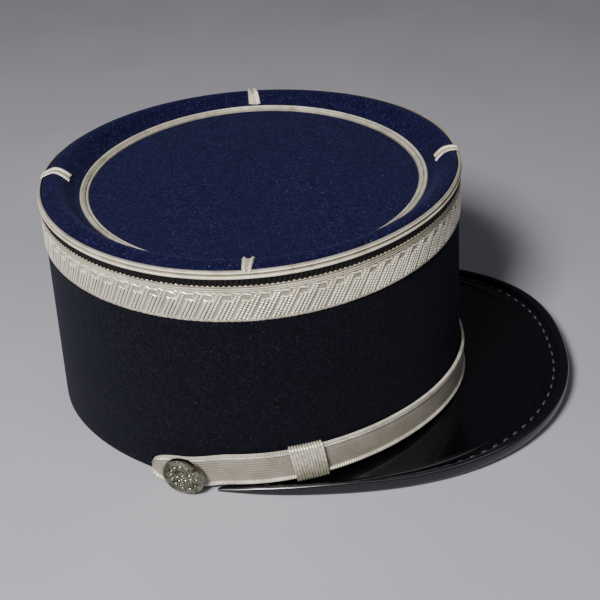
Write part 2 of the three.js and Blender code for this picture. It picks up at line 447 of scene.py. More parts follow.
def patentLeather(name, look):
    material, tree, shader = newMaterial(name)
    place = coordinates(tree)
    swell = noiseNode(tree, place, 28, 2, 0.5)
    pores = noiseNode(tree, place, 900, 3, 0.6)
    dust = noiseNode(tree, place, 420, 8, 0.8)
    wear = rampNode(tree, dust, [(0.60, look["dark"]), (0.86, look["dust"])])
    tree.links.new(wear, shader.inputs["Base Color"])
    haze = rampNode(tree, dust, [(0.35, (look["gloss"],) * 3), (0.80, (look["haze"],) * 3)])
    tree.links.new(haze, shader.inputs["Roughness"])
    setSockets(shader, Specular_IOR_Level=0.5, Coat_Weight=look["coat"], Coat_Roughness=0.06)
    bumpChain(tree, shader, [(swell, 0.25, 0.0010), (pores, 0.12, 0.00008)])
    return material


def blackRib(name, look):
    material, tree, shader = newMaterial(name)
    laid = coordinates(tree, "UV")
    threads = waveNode(tree, laid, 1.1, "Y", 0.5, 2.0)
    tone = rampNode(tree, threads, [(0.1, look["dark"]), (0.9, look["light"])])
    tree.links.new(tone, shader.inputs["Base Color"])
    setSockets(shader, Roughness=0.5, Specular_IOR_Level=0.22)
    bumpChain(tree, shader, [(threads, 0.5, 0.0001)])
    return material


def dullMetal(name, look):
    material, tree, shader = newMaterial(name)
    place = coordinates(tree)
    tarnish = noiseNode(tree, place, look["tarnishScale"], 6, 0.7)
    scratches = noiseNode(tree, place, 1500, 4, 0.6)
    tone = rampNode(tree, tarnish, [(0.34, look["dark"]), (0.62, look["light"])])
    tree.links.new(tone, shader.inputs["Base Color"])
    dull = rampNode(tree, tarnish, [(0.3, (look["dull"],) * 3), (0.7, (look["bright"],) * 3)])
    tree.links.new(dull, shader.inputs["Roughness"])
    setSockets(shader, Metallic=look["metallic"])
    bumpChain(tree, shader, [(scratches, 0.25, 0.00006)])
    return material


def speckled(name, look):
    # one noise between two colours
    material, tree, shader = newMaterial(name)
    place = coordinates(tree)
    noise = noiseNode(tree, place, look["scale"], look["detail"], look["grain"])
    tone = rampNode(tree, noise, [(0.3, look["dark"]), (0.7, look["light"])])
    tree.links.new(tone, shader.inputs["Base Color"])
    setSockets(shader, Roughness=look["roughness"], Specular_IOR_Level=look["specular"])
    if look["bump"]:
        bumpChain(tree, shader, [(noise, look["bump"], 0.0001)])
    return material


bandWool = woolCloth("bandWool", {
    "dark": (0.0010, 0.0010, 0.0026), "light": (0.0036, 0.0035, 0.0076), "fleck": (0.036, 0.035, 0.046),
    "fleckAmount": 0.6, "patchScale": 420, "fibreScale": 1100, "napScale": 700, "sheen": 0.05,
    "sheenTint": (0.40, 0.42, 0.60),
})
crownWool = woolCloth("crownWool", {
    "dark": (0.0012, 0.0012, 0.0095), "light": (0.0040, 0.0036, 0.0240), "fleck": (0.036, 0.036, 0.110),
    "fleckAmount": 0.9, "patchScale": 420, "fibreScale": 1100, "napScale": 700, "sheen": 0.05,
    "sheenTint": (0.30, 0.34, 0.85),
})
laceRope = silverThread("laceRope", {
    "dark": (0.70, 0.64, 0.50), "light": (0.98, 0.93, 0.79), "gap": 0.20, "alongScale": 0.45,
    "twistTurn": 68, "twistScale": 0.27, "twistShade": 0.75, "lineShade": 0.1, "lineBump": 0.15,
    "twistBump": 0.9, "roughness": 0.30, "metallic": 0.35,
})
laceGround = silverThread("laceGround", {
    "dark": (0.20, 0.182, 0.135), "light": (0.35, 0.318, 0.245), "gap": 0.5, "alongScale": 0.45,
    "twistTurn": 0, "twistScale": 0.55, "twistShade": 0.2, "lineShade": 0.25, "lineBump": 0.3,
    "twistBump": 0.4, "roughness": 0.45, "metallic": 0.2,
})
# painted shadow: a near-black material for the strips laid in the gaps between ropes, standing in for their
# shadow
laceShadowStrip = silverThread("laceShadowStrip", {
    "dark": (0.030, 0.027, 0.020), "light": (0.070, 0.062, 0.046), "gap": 0.6, "alongScale": 0.45,
    "twistTurn": 0, "twistScale": 0.55, "twistShade": 0.2, "lineShade": 0.2, "lineBump": 0.2,
    "twistBump": 0.2, "roughness": 0.6, "metallic": 0.1,
})
braidLook = {
    "dark": (0.44, 0.40, 0.32), "light": (0.74, 0.69, 0.57), "gap": 0.20, "alongScale": 0.165,
    "twistTurn": 35, "twistScale": 0.30, "twistShade": 0.22, "lineShade": 0.8, "lineBump": 0.2,
    "twistBump": 0.5, "roughness": 0.38, "metallic": 0.25,
}
braidSilver = silverThread("braidSilver", braidLook)
# painted shade: a darker copy of the silver thread for the grooves between ridges, standing in for the shadow
# in the recess
grooveShadeSilver = silverThread("grooveShadeSilver", {
    "dark": (0.17, 0.150, 0.10), "light": (0.32, 0.285, 0.20), "gap": 0.4, "alongScale": 0.4,
    "twistTurn": 0, "twistScale": 0.4, "twistShade": 0.1, "lineShade": 0.4, "lineBump": 0.2,
    "twistBump": 0.3, "roughness": 0.45, "metallic": 0.2,
})
# painted shade: a darker copy of the edge braid's silver, standing in for the shade on the ring braid inside
# the crown's rim
ringShadedSilver = silverThread("ringShadedSilver", {
    **braidLook, "dark": (0.26, 0.235, 0.18), "light": (0.52, 0.48, 0.39), "gap": 0.22, "metallic": 0.3,
})
tabSilver = silverThread("tabSilver", {
    "dark": (0.50, 0.45, 0.34), "light": (0.80, 0.75, 0.62), "gap": 0.35, "alongScale": 0.0628,
    "twistTurn": 30, "twistScale": 0.4, "twistShade": 0.3, "lineShade": 0.75, "lineBump": 0.1,
    "twistBump": 0.6, "roughness": 0.36, "metallic": 0.3,
})
strapSilver = silverThread("strapSilver", {
    "dark": (0.22, 0.192, 0.150), "light": (0.32, 0.285, 0.230), "gap": 0.40, "alongScale": 0.21,
    "twistTurn": 0, "twistScale": 0.5, "twistShade": 0.15, "lineShade": 0.55, "lineBump": 0.9,
    "twistBump": 0.3, "roughness": 0.46, "metallic": 0.2,
})
strapEdge = silverThread("strapEdge", {
    "dark": (0.45, 0.41, 0.32), "light": (0.86, 0.82, 0.70), "gap": 0.20, "alongScale": 0.4,
    "twistTurn": 25, "twistScale": 0.26, "twistShade": 0.55, "lineShade": 0.1, "lineBump": 0.2,
    "twistBump": 0.9, "roughness": 0.30, "metallic": 0.4,
})
ribBlack = blackRib("ribBlack", {"dark": (0.0006, 0.0006, 0.0007), "light": (0.0022, 0.0022, 0.0025)})
visorPatent = patentLeather("visorPatent", {
    "dark": (0.0012, 0.0013, 0.0020), "dust": (0.006, 0.0065, 0.008), "gloss": 0.16, "haze": 0.26,
    "coat": 0.3,
})
bindingPatent = patentLeather("bindingPatent", {
    "dark": (0.0018, 0.0021, 0.0038), "dust": (0.009, 0.010, 0.015), "gloss": 0.26, "haze": 0.36,
    "coat": 0.3,
})
wireSilver = dullMetal("wireSilver", {
    "dark": (0.42, 0.38, 0.27), "light": (0.82, 0.79, 0.68), "tarnishScale": 500, "dull": 0.45,
    "bright": 0.28, "metallic": 0.6,
})
buttonNickel = dullMetal("buttonNickel", {
    "dark": (0.045, 0.045, 0.028), "light": (0.36, 0.36, 0.27), "tarnishScale": 240, "dull": 0.34,
    "bright": 0.17, "metallic": 1.0,
})
print("materials made")

# band: one thick wool wall with a rounded hem
band = {
    "columns": 120, "thickness": 0.003, "hem": 0.0011, "hemCorner": 0.3, "seat": 0.0058, "outerRows": 10,
    "innerMiddle": 0.6, "innerTop": 0.02,
}


def bandSection(angle):
    drop = (topLine(angle) - footLine(angle)).length
    seat, thick, hem = band["seat"], band["thickness"], band["hem"]
    corner = hem * band["hemCorner"]
    rows = band["outerRows"]
    spots = [(seat, 0)]
    spots += [(seat + (drop - hem - seat) * row / rows, 0) for row in range(1, rows + 1)]
    spots += [(drop - corner, -corner), (drop, -hem), (drop, -thick + hem), (drop - corner, -thick + corner),
              (drop - hem, -thick), (drop * band["innerMiddle"], -thick), (seat + band["innerTop"], -thick),
              (seat, -thick), (seat, -thick / 2)]
    return spots


def bandPlace(across, along):
    angle = across * 2 * math.pi
    spots = bandSection(angle)
    down, out = spots[round(along * len(spots)) % len(spots)]
    return seated(wallPoint(angle, down, out))


bandPiece = shapeGrid("band_cloth", band["columns"], len(bandSection(0)), bandPlace)
closeUp(bandPiece)
subdivided(bandPiece)
finishPiece(bandPiece, "band", bandWool, 60)
print("band made")

# crown: a rolled rim, a slope down to the ring braid, a flat floor and a plain underside
crown = {
    "columns": 96,
    # (inset, rise) from the top line, outward from the middle and then back under
    "section": [
        (0.0800, -0.0077), (0.0494, -0.0078), (0.0260, -0.0080), (0.0194, -0.0081), (0.0170, -0.0077),
        (0.0146, -0.0067), (0.0128, -0.0052), (0.0112, -0.0031), (0.0096, -0.0012), (0.0080, 0.0003),
        (0.0065, 0.0012), (0.0049, 0.0016), (0.0034, 0.0014), (0.0019, 0.0009), (0.0008, 0.0000),
        (0.0002, -0.0015), (0.0004, -0.0036),
    ],
    "under": [(0.0012, -0.0056), (0.0055, -0.0057), (0.0140, -0.0103), (0.0494, -0.0103), (0.0800, -0.0103)],
}
crownRows = len(crown["section"]) + len(crown["under"]) + 1


def crownPlace(across, along):
    angle = across * 2 * math.pi
    row = round(along * crownRows)
    if row in (0, crownRows):    # the middle of the floor, and of the underside
        depth = crown["section"][0][1] if row == 0 else crown["under"][-1][1]
        return seated(Vector((0, 0, shell["height"] + depth)))
    row -= 1
    if row < len(crown["section"]):
        return seated(roofLine(angle, *crown["section"][row]))
    return seated(topLine(angle, *crown["under"][row - len(crown["section"])]))


crownPiece = shapeGrid("crown_cloth", crown["columns"], crownRows, crownPlace)
closeUp(crownPiece)
subdivided(crownPiece)
finishPiece(crownPiece, "crown", crownWool, 60)
print("crown made")


# braid and lace strips are one short unit each, repeated and bent round the head
def trimUnit(name, outline, length):
    # a closed outline of (out, up) points, pulled along X with open ends
    deselectAll()
    bpy.ops.mesh.primitive_circle_add(vertices=len(outline), radius=0.001, fill_type="NOTHING")
    unit = named(name)
    for vertex, (out, up) in zip(unit.data.vertices, outline):
        vertex.co = (0, out, up)
    startEdit(unit)
    bpy.ops.mesh.extrude_region_move(TRANSFORM_OT_translate={"value": (length, 0, 0)})
    endEdit()
    return unit


def ridgedOutline(ridges, groove, back=0.0003, steps=5, fullness=0.7, lowStart=0.4):
    # ridges are (from, to, height); groove is the height between them
    spots = [(-back, ridges[0][0])]
    for low, high, height in ridges:
        for step in range(steps + 1):
            turn = math.pi * step / steps
            lift = groove + (height - groove) * math.sin(turn) ** fullness
            if step == 0 and low == ridges[0][0]:    # the outline starts low
                lift = groove * lowStart
            spot = (lift, low + (high - low) * (0.5 - 0.5 * math.cos(turn)))
            if spots[-1] != spot:
                spots.append(spot)
    spots.append((-back, ridges[-1][1]))
    return spots


edgeBraid = {
    "drop": 0.00180, "standOff": 0.0001, "units": 240, "groove": 0.00025, "grooveMargin": 0.0001,
    "ridges": [(-0.00185, -0.00040, 0.0011), (0.00060, 0.00125, 0.0008), (0.00125, 0.00185, 0.0006)],
}
path, length = headPath("edgePath", lambda a: wallPoint(a, edgeBraid["drop"], edgeBraid["standOff"]), wallLean)
edgeStep = length / edgeBraid["units"]
edgePiece = trimUnit("edge_braid_lace", ridgedOutline(edgeBraid["ridges"], edgeBraid["groove"]), edgeStep)
layAlong(edgePiece, path, edgeStep, edgeBraid["units"])
grooveLow = edgeBraid["ridges"][0][1] - edgeBraid["grooveMargin"]
grooveHigh = edgeBraid["ridges"][1][0] + edgeBraid["grooveMargin"]
# the groove faces take the darker copy as painted shade
twoFinishes(edgePiece, braidSilver, grooveShadeSilver, lambda up: grooveLow < up / 1000 < grooveHigh)
finishPiece(edgePiece, "edge_braid", None, 70)

ribStrip = {
    "drop": 0.0053, "halfWidth": 0.0020, "units": 270, "ribHeight": 0.0005, "ribFullness": 0.6,
    "base": 0.0001, "thickness": 0.0006,
}
path, length = headPath("ribPath", lambda a: wallPoint(a, ribStrip["drop"], 0), wallLean)
ribStep = length / ribStrip["units"]


def ribPlace(across, along):
    swell = math.sin(math.pi * across) ** ribStrip["ribFullness"] if 0 < across < 1 else 0
    return Vector((across * ribStep, ribStrip["base"] + ribStrip["ribHeight"] * swell,
                   (along * 2 - 1) * ribStrip["halfWidth"]))


ribPiece = shapeGrid("ribbed_strip_silk", 6, 2, ribPlace)
layAlong(ribPiece, path, ribStep, ribStrip["units"])
thickened(ribPiece, ribStrip["thickness"])
finishPiece(ribPiece, "ribbed_strip", ribBlack, 50)
print("edge braid and ribbed strip made")

# galon: plain header lines, a row of small panels, bundles of leaning ropes, and painted-shadow strips between
# the ropes
galon = {
    "drop": 0.01585, "halfWidth": 0.00875, "units": 75,
    "headerLines": [(0.0002, 0.0008), (0.0015, 0.0006), (0.0026, 0.0006)], "lineWidth": 0.00038,
    "footLine": (0.0167, 0.0006), "footWidth": 0.0006, "crimp": 0.00025, "crimpShare": 8, "crimpWaves": 6,
    "ropes": [(0.0064, 0.0044), (0.0080, 0.0042), (0.0097, 0.0075), (0.0113, 0.0075)],    # (along, top)
    "ropeFoot": 0.0162, "ropeGap": 0.00082, "ropeTurn": 27, "ropeRadius": 0.00056, "base": 0.0001,
    "shadeStripRadius": 0.00034, "shadeStripFlat": 0.8, "threadLift": 0.25, "thickness": 0.0003,
    "panel": (0.0010, 0.0047), "panelFoot": 0.0075,
    # (down, radius) of the threads along the header and the foot
    "headerBars": [(0.0003, 0.00045), (0.0016, 0.00026), (0.0027, 0.00026), (0.0168, 0.00050)],
}
path, length = headPath("galonPath", lambda a: wallPoint(a, galon["drop"], 0), wallLean)
galonStep = length / galon["units"]


def galonPlace(across, along):
    fromTop = (1 - along) * 2 * galon["halfWidth"]
    lift = galon["base"]
    for middle, height in galon["headerLines"]:
        lift += height * math.exp(-((fromTop - middle) / galon["lineWidth"]) ** 2)
    middle, height = galon["footLine"]
    lift += height * math.exp(-((fromTop - middle) / galon["footWidth"]) ** 2)
    fade = clamp(1 - along * galon["crimpShare"])    # only the lower edge is crimped
    crimp = galon["crimp"] * math.sin(across * galon["crimpWaves"] * math.pi) * fade
    return Vector((across * galonStep, lift, galon["halfWidth"] - fromTop + crimp))


def bar(low, high, radius, flat=0.9, material=laceRope, ends="NGON"):
    # a flattened thread, or a dark painted-shadow strip, between two (along, from the top) spots
    start = Vector((low[0], 0, galon["halfWidth"] - low[1]))
    end = Vector((high[0], 0, galon["halfWidth"] - high[1]))
    deselectAll()
    bpy.ops.mesh.primitive_cylinder_add(vertices=6, radius=radius, depth=(end - start).length,
                                        end_fill_type=ends)
    threadOrShadowStrip = bpy.context.object
    lean = math.atan2(end.x - start.x, end.z - start.z)
    middle = (start + end) / 2 + Vector((0, galon["base"] + radius * galon["threadLift"], 0))
    flatten = Matrix.Diagonal((1, flat, 1, 1))
    threadOrShadowStrip.data.transform(Matrix.Translation(middle) @ flatten @ Matrix.Rotation(lean, 4, "Y"))
    threadOrShadowStrip.data.materials.append(material)
    return threadOrShadowStrip


galonBase = shapeGrid("galon_lace", 8, 48, galonPlace)
layAlong(galonBase, path, galonStep, galon["units"])
thickened(galonBase, galon["thickness"])
galonBase.data.materials.append(laceGround)
path, length = headPath("galonPath", lambda a: wallPoint(a, galon["drop"], 0), wallLean)
parts = []
ropeSlope = math.tan(deg(galon["ropeTurn"]))
panelFoot, ropeFoot = galon["panelFoot"], galon["ropeFoot"]
for along, top in galon["ropes"]:
    # along is the rope's place at the foot of the panels
    highX = along + (top - panelFoot) * ropeSlope
    lowX = along + (ropeFoot - panelFoot) * ropeSlope
    parts.append(bar((lowX, ropeFoot), (highX, top), galon["ropeRadius"]))
    if along != galon["ropes"][-1][0]:    # a painted-shadow strip in the narrow gap before the next rope
        gapTop = max(top, panelFoot)
        gapX = along + galon["ropeGap"]
        gapHigh = (gapX + (gapTop - panelFoot) * ropeSlope, gapTop)
        gapLow = (gapX + (lowX - along), ropeFoot)
        parts.append(bar(gapLow, gapHigh, galon["shadeStripRadius"], galon["shadeStripFlat"], laceShadowStrip))
for down, radius in galon["headerBars"]:
    parts.append(bar((0, down), (galonStep, down), radius, ends="NOTHING"))
panelLeft, panelRight = galon["panel"]
panelBars = [    # (start, end, radius) of the threads round each small panel
    ((panelLeft, 0.0043), (panelRight, 0.0039), 0.00050),
    ((panelRight, 0.0038), (galonStep + panelLeft, 0.0034), 0.00034),
    ((panelLeft - 0.0001, 0.0041), (panelLeft - 0.0004, 0.0072), 0.00032),
    ((panelLeft - 0.0004, 0.0073), (panelRight, 0.0071), 0.00036),
]
parts += [bar(*panelBar) for panelBar in panelBars]
galonThreads = joined("galon_threads", parts)
layAlong(galonThreads, path, galonStep, galon["units"], closed=False)
closeUp(galonThreads, 0.00001)
galonPiece = joined("galon_lace", [galonBase, galonThreads])
finishPiece(galonPiece, "galon", None, 50)
print("galon made")

# ring braid on the foot of the inner slope; its repeats begin near the front
ringBraid = {
    "inset": 0.0170, "rise": -0.0076, "lean": 22, "units": 220, "startAngle": -14, "groove": 0.0002,
    "ridges": [(-0.0021, -0.0010, 0.0008), (-0.0009, 0.0004, 0.0011), (0.0009, 0.0020, 0.0010)],
}
path, length = headPath("ringPath", lambda a: roofLine(a, ringBraid["inset"], ringBraid["rise"]), lambda a: 0,
                        ringBraid["startAngle"])
ringStep = length / ringBraid["units"]
leanCos, leanSin = math.cos(deg(ringBraid["lean"])), math.sin(deg(ringBraid["lean"]))
outline = []
for lift, inward in ridgedOutline(ringBraid["ridges"], ringBraid["groove"]):
    outline.append((-inward * leanCos - lift * leanSin, -inward * leanSin + lift * leanCos))
ringPiece = trimUnit("ring_braid_lace", outline, ringStep)
layAlong(ringPiece, path, ringStep, ringBraid["units"], flat="xy")
# the ring braid takes the darker, shaded copy of the braid silver
finishPiece(ringPiece, "ring_braid", ringShadedSilver, 70)

# rim tabs: two cords that meet at the edge and part over the roll, on a narrow ribbon
rimTab = {
    "route": [(-0.0002, -0.0008), (0.0000, 0.0000), (0.0007, 0.0007), (0.0019, 0.0011), (0.0034, 0.0015),
              (0.0049, 0.0017), (0.0065, 0.0013), (0.0080, 0.0004), (0.0096, -0.0011), (0.0112, -0.0030),
              (0.0128, -0.0051), (0.0140, -0.0062)],
    "ends": (0.0036, 0.0062), "thickness": 0.0006, "cord": 0.00075, "ribbon": 0.0001,
    "mapLength": 18, "mapWidth": 5, "groove": (0.34, 0.66), "shortReach": 0.80,
}


def makeTab(name, node, angle, reach):
    along = Vector((0, 0, 1)).cross(outward(angle))
    route = rimTab["route"]

    def tabPlace(across, run):
        spot = run * reach * (len(route) - 1)
        index = min(int(spot), len(route) - 2)
        (inset, rise), (nextInset, nextRise) = route[index], route[index + 1]
        ahead = Vector((nextInset - inset, nextRise - rise)).normalized()
        inset += (nextInset - inset) * (spot - index)
        rise += (nextRise - rise) * (spot - index)
        side = across * 2 - 1
        width = rimTab["ends"][0] + (rimTab["ends"][1] - rimTab["ends"][0]) * run
        fromCord = (abs(side) * width / 2 - (width / 2 - rimTab["cord"])) / rimTab["cord"]
        lift = rimTab["ribbon"] + rimTab["cord"] * math.sqrt(max(1 - fromCord ** 2, 0))
        slide = roofLine(angle, inset - ahead.y * lift, rise + ahead.x * lift)
        return seated(slide + along * side * width / 2)

    tab = shapeGrid(name, 24, 22, tabPlace)
    layer = tab.data.uv_layers.active
    for loop in tab.data.loops:
        across, run = layer.data[loop.index].uv
        layer.data[loop.index].uv = (run * rimTab["mapLength"], across * rimTab["mapWidth"])
    closeUp(tab)
    thickened(tab, rimTab["thickness"])
    low, high = rimTab["groove"]
    # the ribbon between the two cords takes the darker copy as painted shade
    twoFinishes(tab, tabSilver, grooveShadeSilver, lambda up: low < up / rimTab["mapWidth"] < high)
    finishPiece(tab, node, None, 70)


makeTab("rim_tab_front_lace", "rim_tab_front", 0, rimTab["shortReach"])
makeTab("rim_tab_left_lace", "rim_tab_left", math.pi / 2, 1)
makeTab("rim_tab_back_lace", "rim_tab_back", math.pi, rimTab["shortReach"])
makeTab("rim_tab_right_lace", "rim_tab_right", -math.pi / 2, 1)
print("ring braid and tabs made")

# visor: a dished patent plate with an embossed line, a row of stitches and a rolled binding
visor = {
    "halfWidth": 0.0912, "reach": 0.1254, "shoulder": -0.027, "power": 2.35, "tipLift": 0.0076,
    "liftPower": 2.6, "rootAngle": 102, "hornOffset": 0.0049, "hornShare": 0.8,
    "thinning": 0.62, "thinningShare": 0.77,
    "plate": 0.002, "plateSolid": 0.8, "plateShare": 0.955, "dish": 0.0016, "columns": 160,
    "bindingWidth": 0.0044, "bindingHeight": 0.0064, "gap": 0.0003, "tuck": 0.0006, "groundGap": 0.0003,
}


def visorRoot(share):
    angle = share * deg(visor["rootAngle"])
    return footLine(angle) + outward(angle) * visor["gap"]


def visorEdge(share):
    side = math.copysign(1, share)
    turn = min(abs(share) / visor["hornShare"], 1) * math.pi / 2
    horn = max((abs(share) - visor["hornShare"]) / (1 - visor["hornShare"]), 0)
    edge = Vector((side * visor["halfWidth"] * math.sin(turn) ** (2 / visor["power"]),
                   visor["shoulder"] - visor["reach"] * max(math.cos(turn), 0) ** (2 / visor["power"]), 0))
    tip = visorRoot(side) + outward(side * deg(visor["rootAngle"])) * visor["hornOffset"]
    edge.x += (tip.x - edge.x) * horn ** 2
    edge.y += (tip.y - visor["shoulder"]) * horn
    return edge


def rimHeight(share):
    horn = max((abs(share) - visor["thinningShare"]) / (1 - visor["thinningShare"]), 0)
    return visor["bindingHeight"] * (1 - visor["thinning"] * horn)


def visorLift(y):
    return visor["tipLift"] * max((visor["shoulder"] - y) / visor["reach"], 0) ** visor["liftPower"]


def platePoint(share, fromEdge, height):
    root, edge = visorRoot(share), visorEdge(share)
    inward = (root - edge).normalized()
    rim = edge + inward * (visor["bindingWidth"] - visor["tuck"])
    width = (root - rim).length
    across = 1 - clamp(fromEdge / width)
    point = root.lerp(rim, across)
    rimTop = rimHeight(share)
    dish = visor["dish"] * (1 - across ** 2) * rimTop / visor["bindingHeight"]
    point.z = rimTop / 2 + visorLift(point.y) - dish + height * rimTop / visor["bindingHeight"]
    return point


plateRows = {
    "fromEdge": [0, 0.0014, 0.0028, 0.0034, 0.0040, 0.0056, 0.0082, 0.0086, 0.0090, 0.0094, 0.0098, 0.0130],
    "raise": [0, 0, 0, -0.0002, 0, 0, 0, 0.00018, 0.00040, 0.00018, 0, 0],
    "inner": 12,
    "fullWidth": 0.03,    # where the plate is narrower, the rows draw together
}


def plateTop(share, row):
    width = (visorRoot(share) - visorEdge(share)).length - visor["bindingWidth"] + visor["tuck"]
    fitted = clamp(width / plateRows["fullWidth"])
    edgeRows = plateRows["fromEdge"]
    if row < len(edgeRows):
        return platePoint(share, edgeRows[row] * fitted, visor["plate"] / 2 + plateRows["raise"][row] * fitted)
    last = edgeRows[-1] * fitted
    part = (row - len(edgeRows) + 1) / plateRows["inner"]
    return platePoint(share, last + (width - last) * part, visor["plate"] / 2)


plateCount = len(plateRows["fromEdge"]) + plateRows["inner"] - 1


def visorShare(across):
    return (across * 2 - 1) * visor["plateShare"]


platePiece = shapeGrid("visor_patent", visor["columns"], plateCount,
                       lambda across, along: seated(plateTop(visorShare(across), round(along * plateCount))))
closeUp(platePiece, 0.00001)
if platePiece.data.polygons[len(platePiece.data.polygons) // 2].normal.z < 0:
    startEdit(platePiece)
    bpy.ops.mesh.flip_normals()
    endEdit()
thickened(platePiece, visor["plate"] * visor["plateSolid"])
for vertex in platePiece.data.vertices:    # the horns stay above the ground
    vertex.co.z = max(vertex.co.z, visor["groundGap"])
finishPiece(platePiece, "visor", visorPatent, 50)

binding = {
    "columns": 220, "tip": 0.35, "tipShare": 0.08, "middle": 0.42,
    # (inward, up) round the section, as shares of its width and height
    "outline": [
        (0.02, 0.28), (0.02, 0.72), (0.07, 0.86), (0.18, 0.96), (0.36, 1.02), (0.58, 1.02), (0.72, 0.97),
        (0.76, 0.93), (0.80, 0.97), (0.88, 0.99), (0.97, 0.95), (1.02, 0.84), (1.02, 0.20), (0.94, 0.05),
        (0.60, 0.0), (0.22, 0.05), (0.07, 0.14),
    ],
    "grooveRows": (6, 7, 8), "grooveFill": 0.985, "grooveFrom": 0.6, "grooveFade": 0.15,
}


def bindingPlace(across, along):
    share = across * 2 - 1
    row = round(along * len(binding["outline"])) % len(binding["outline"])
    deep, high = binding["outline"][row]
    if row in binding["grooveRows"]:    # the groove beside the plate dies out towards the horns
        fade = clamp((abs(share) - binding["grooveFrom"]) / binding["grooveFade"])
        high += (binding["grooveFill"] - high) * fade
    edge = visorEdge(share)
    inward = (visorRoot(share) - edge).normalized()
    tip, middle = binding["tip"], binding["middle"]
    narrow = tip + (1 - tip) * clamp((1 - abs(share)) / binding["tipShare"]) ** 0.5
    point = edge + inward * (deep * visor["bindingWidth"] * narrow)
    point.z = visorLift(edge.y) + (middle + (high - middle) * narrow) * rimHeight(share)
    return seated(point)


bindingPiece = shapeGrid("visor_binding_patent", binding["columns"], len(binding["outline"]), bindingPlace)
capEnds(bindingPiece)
finishPiece(bindingPiece, "visor_binding", bindingPatent, 80)

stitches = {
    "fromEdge": 0.0034, "spacing": 0.0063, "length": 0.0027, "radius": 0.00052, "reach": 0.93, "pathSteps": 200,
    "standOff": 0.0001, "bevel": 0.0002,
}
stitchPoints = []
for step in range(stitches["pathSteps"], -1, -1):
    share = (step / stitches["pathSteps"] * 2 - 1) * stitches["reach"]
    stitchPoints.append(platePoint(share, stitches["fromEdge"], visor["plate"] / 2))
path, length = pathCurve("stitchPath", stitchPoints, [0] * len(stitchPoints), False)
stitchCount = int(length / stitches["spacing"])
deselectAll()
bpy.ops.mesh.primitive_cylinder_add(vertices=8, radius=stitches["radius"], depth=stitches["length"],
                                    rotation=(0, math.pi / 2, 0),
                                    location=(stitches["spacing"] / 2, 0, stitches["standOff"]))
stitchPiece = bpy.context.object
stitchPiece.name = "visor_stitches"
bpy.ops.object.transform_apply()
startEdit(stitchPiece)
bpy.ops.mesh.bevel(offset=stitches["bevel"], segments=1)
endEdit()
layAlong(stitchPiece, path, length / stitchCount, stitchCount, closed=False)
# painted highlight: the black thread is coloured a lighter bluish grey, standing in for the glints on the
# stitches
stitchGlintThread = speckled("stitchGlintThread", {
    "dark": (0.014, 0.015, 0.020), "light": (0.050, 0.053, 0.066), "scale": 1500, "detail": 4, "grain": 0.7,
    "roughness": 0.45, "specular": 0.6, "bump": 0.5,
})
finishPiece(stitchPiece, "visor", stitchGlintThread, 50)
print("visor made")

# chin strap with a rounded tongue behind each button
strap = {
    "width": 0.0175, "thickness": 0.0011, "standOff": 0.0017, "endAngle": 119.6, "columns": 260,
    "tongue": 9, "tongueTip": 0.30, "mapLength": 460, "ropeEdge": 0.112, "threadEdge": 0.872,
    "frontClose": 0.0008, "flare": 0.0029, "flareFrom": 98, "flareTo": 111, "droop": 0.0006,
    "foot": (0.0047, 0.0055, -0.0052),
    # (up, out) round the section, as shares of its width and thickness
    "rows": [
        (0.0, 0.0), (0.0, 0.6), (0.02, 1.5), (0.055, 1.75), (0.09, 1.45), (0.115, 0.9), (0.14, 0.8),
        (0.22, 1.0), (0.35, 1.05), (0.5, 1.05), (0.65, 1.05), (0.8, 1.0), (0.86, 0.8), (0.885, 1.3),
        (0.91, 1.35), (0.935, 0.9), (0.96, 1.3), (0.99, 1.25), (1.0, 0.6), (1.0, 0.0),
    ],
}


def strapFoot(angle):
    # the height of its lower edge, from the front round to the buttons
    fore = math.cos(angle)
    level, slope, curve = strap["foot"]
    return level + slope * fore + curve * fore ** 2


def strapPoint(angle, up, out):
    # it stands off further where it runs over the buttons' shanks
    share = clamp((math.degrees(abs(angle)) - strap["flareFrom"]) / (strap["flareTo"] - strap["flareFrom"]))
    share = share * share * (3 - 2 * share)
    height = strapFoot(angle) + up - strap["droop"] * share
    close = strap["frontClose"] * max(math.cos(angle), 0)    # it lies closer to the wall round the front
    return wallAtHeight(angle, height, strap["standOff"] - close + strap["flare"] * share + out)


def strapRow(along):
    return strap["rows"][round(along * len(strap["rows"])) % len(strap["rows"])]


def strapPlace(across, along):
    end = deg(strap["endAngle"])
    angle = (across * 2 - 1) * end
    fromEnd = min((end - abs(angle)) / deg(strap["tongue"]), 1)
    tip = strap["tongueTip"]
    half = strap["width"] / 2 * (tip + (1 - tip) * math.sqrt(max(1 - (1 - fromEnd) ** 2, 0)))
    up, lift = strapRow(along)
    return seated(strapPoint(angle, strap["width"] / 2 + (up * 2 - 1) * half, lift * strap["thickness"]))


strapPiece = shapeGrid("chin_strap_lace", strap["columns"], len(strap["rows"]), strapPlace)
layer = strapPiece.data.uv_layers.active
for loop in strapPiece.data.loops:
    across, along = layer.data[loop.index].uv
    layer.data[loop.index].uv = (across * strap["mapLength"], strapRow(along)[0] * strap["width"] * 1000)
capEnds(strapPiece)
plainFrom, plainTo = (strap[edge] * strap["width"] * 1000 for edge in ("ropeEdge", "threadEdge"))
twoFinishes(strapPiece, strapSilver, strapEdge, lambda up: not plainFrom <= up <= plainTo)
finishPiece(strapPiece, "chin_strap", None, 60)

# sliders: wound wire closed round the strap
slider = {
    "angle": 78.0, "halfSpan": 12, "pathSteps": 24, "turns": 12, "wire": 0.00056, "pitch": 0.00125, "lean": 8,
    "halfHeight": 0.0097, "near": -0.0009, "far": 0.0026, "corner": 0.0012, "nearCut": 0.0006, "farCut": 0.0008,
    "bulge": 0.0002,
}


